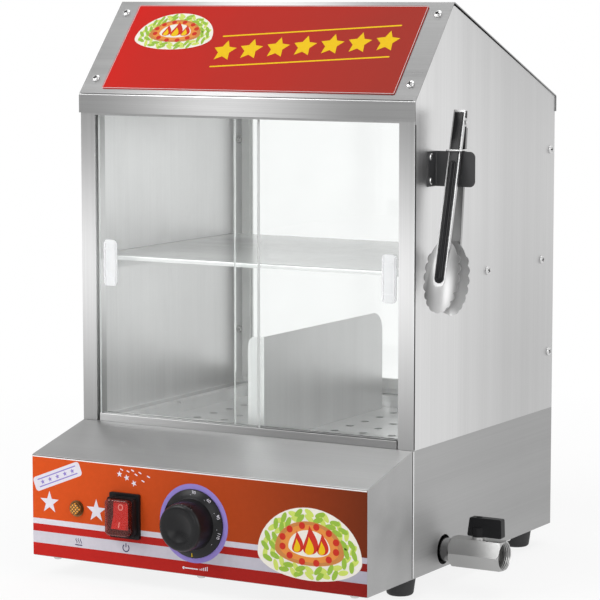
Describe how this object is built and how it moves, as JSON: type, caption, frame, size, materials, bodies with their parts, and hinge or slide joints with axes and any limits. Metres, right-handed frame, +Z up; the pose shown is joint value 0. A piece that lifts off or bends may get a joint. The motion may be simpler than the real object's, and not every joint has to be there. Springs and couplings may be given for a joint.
{
  "type": "hot dog steamer",
  "caption": "Countertop hot dog steamer: steel cabinet over a heated water tank, gable roof with a sign, sliding glass doors, bun shelf, drain valve, console and tongs.",
  "frame": {"origin": "middle of the overall box, at the feet's underside", "axes": "+Z up, -Y towards the user, out of the console's front panel; +X to the user's right, towards the drain valve"},
  "size_m": [0.4014, 0.398, 0.5081],
  "materials": {
    "stainless": "brushed, grain along the longer side",
    "polished_steel": "polished",
    "zinc_steel": "bright, turned",
    "nickel": "satin nickel plate",
    "black_steel": "black powder coat, low sheen",
    "glass": "clear toughened glass",
    "clear_plastic": "moulded, translucent white",
    "black_plastic": "fine moulded grain",
    "black_rubber": "matt",
    "red_plastic": "gloss",
    "smoke_boot": "clear, lightly smoked",
    "amber_plastic": "cross-hatched, translucent",
    "face_print": "printed polyester sheet",
    "sign_print": "printed sheet, satin",
    "white_ptfe": "smooth",
    "white_ceramic": "moulded thermoset",
    "copper": "drawn tube",
    "element": "annealed, grey"
  },
  "bodies": {
    "body": {"base_casing": "stainless", "rear_wall": "stainless", "deck_plate": "stainless", "bottom_plate": "stainless", "feet": "black_rubber", "base_screws": "zinc_steel", "hex_nuts": "zinc_steel", "water_tank": "stainless", "heating_element": "element", "element_fittings": "zinc_steel", "cable_gland": "black_plastic", "terminal_block": "white_ceramic", "console_cover": "stainless", "console_panel": "stainless", "control_overlay": "face_print", "lamp_body": "zinc_steel", "lamp_lens": "amber_plastic", "switch_housing": "black_plastic", "switch_cover": "smoke_boot", "thermostat_body": "white_ceramic", "thermostat_bulb": "copper", "drain_pipe": "zinc_steel", "valve_body": "nickel", "valve_seats": "white_ptfe", "side_panel_left": "stainless", "side_panel_right": "stainless", "front_frame": "stainless", "rear_frame": "stainless", "roof": "stainless", "sign_panel": "sign_print", "panel_screws": "polished_steel", "upper_track": "stainless", "lower_track": "stainless", "rear_glass": "glass", "rear_seal": "black_rubber", "shelf_rails": "stainless", "tongs_holder": "black_steel", "holder_rivets": "zinc_steel"},
    "door_left": {"door_glass_left": "glass", "door_handle_left": "clear_plastic"},
    "door_right": {"door_glass_right": "glass", "door_handle_right": "clear_plastic"},
    "knob": {"control_knob": "black_plastic", "thermostat_shaft": "zinc_steel"},
    "rocker": {"rocker": "red_plastic"},
    "valve_lever": {"valve_lever": "black_plastic", "valve_stem": "zinc_steel", "valve_ball": "nickel", "lever_screw": "polished_steel"},
    "bun_shelf": {"bun_shelf": "stainless"},
    "hot_dog_tray": {"tray_frame": "stainless", "tray_floor": "stainless"},
    "divider": {"divider": "stainless"},
    "tongs": {"tongs_arm_rear": "polished_steel", "tongs_grip_rear": "black_plastic", "tongs_pin": "polished_steel", "tongs_spring": "zinc_steel"},
    "tongs_front_arm": {"tongs_arm_front": "polished_steel", "tongs_grip_front": "black_plastic"},
    "tongs_ring": {"tongs_ring": "polished_steel"}
  },
  "joints": [
    {"name": "door_left_slide", "type": "slide", "parent": "body", "child": "door_left", "axis": [1, 0, 0], "range_m": [0, 0.139]},
    {"name": "door_right_slide", "type": "slide", "parent": "body", "child": "door_right", "axis": [-1, 0, 0], "range_m": [0, 0.139]},
    {"name": "knob_turn", "type": "hinge", "parent": "body", "child": "knob", "pos_m": [-0.0283, -0.1752, 0.0635], "axis": [0, 1, 0], "range_deg": [0, 270]},
    {"name": "rocker_tilt", "type": "hinge", "parent": "body", "child": "rocker", "pos_m": [-0.0983, -0.1789, 0.0635], "axis": [1, 0, 0], "range_deg": [0, 20]},
    {"name": "valve_turn", "type": "hinge", "parent": "body", "child": "valve_lever", "pos_m": [0.1757, -0.035, 0.0485], "axis": [0, 0, 1], "range_deg": [0, 90]},
    {"name": "shelf_lift", "type": "slide", "parent": "body", "child": "bun_shelf", "axis": [0, 0, 1], "range_m": [0, 0.03]},
    {"name": "tray_lift", "type": "slide", "parent": "body", "child": "hot_dog_tray", "axis": [0, 0, 1], "range_m": [0, 0.015]},
    {"name": "divider_lift", "type": "slide", "parent": "hot_dog_tray", "child": "divider", "axis": [0, 0, 1], "range_m": [0, 0.02]},
    {"name": "tongs_unhook", "type": "slide", "parent": "body", "child": "tongs", "axis": [1, 0, 0], "range_m": [0, 0.045]},
    {"name": "tongs_squeeze", "type": "hinge", "parent": "tongs", "child": "tongs_front_arm", "pos_m": [0.1627, -0.0514, 0.407], "axis": [1, 0, 0], "range_deg": [0, 2.2], "stiffness_Nm_per_rad": 0.05, "springref_deg": -20.05},
    {"name": "ring_slide", "type": "slide", "parent": "tongs", "child": "tongs_ring", "axis": [0, 0.1736, 0.9848], "range_m": [0, 0.006]}
  ]
}
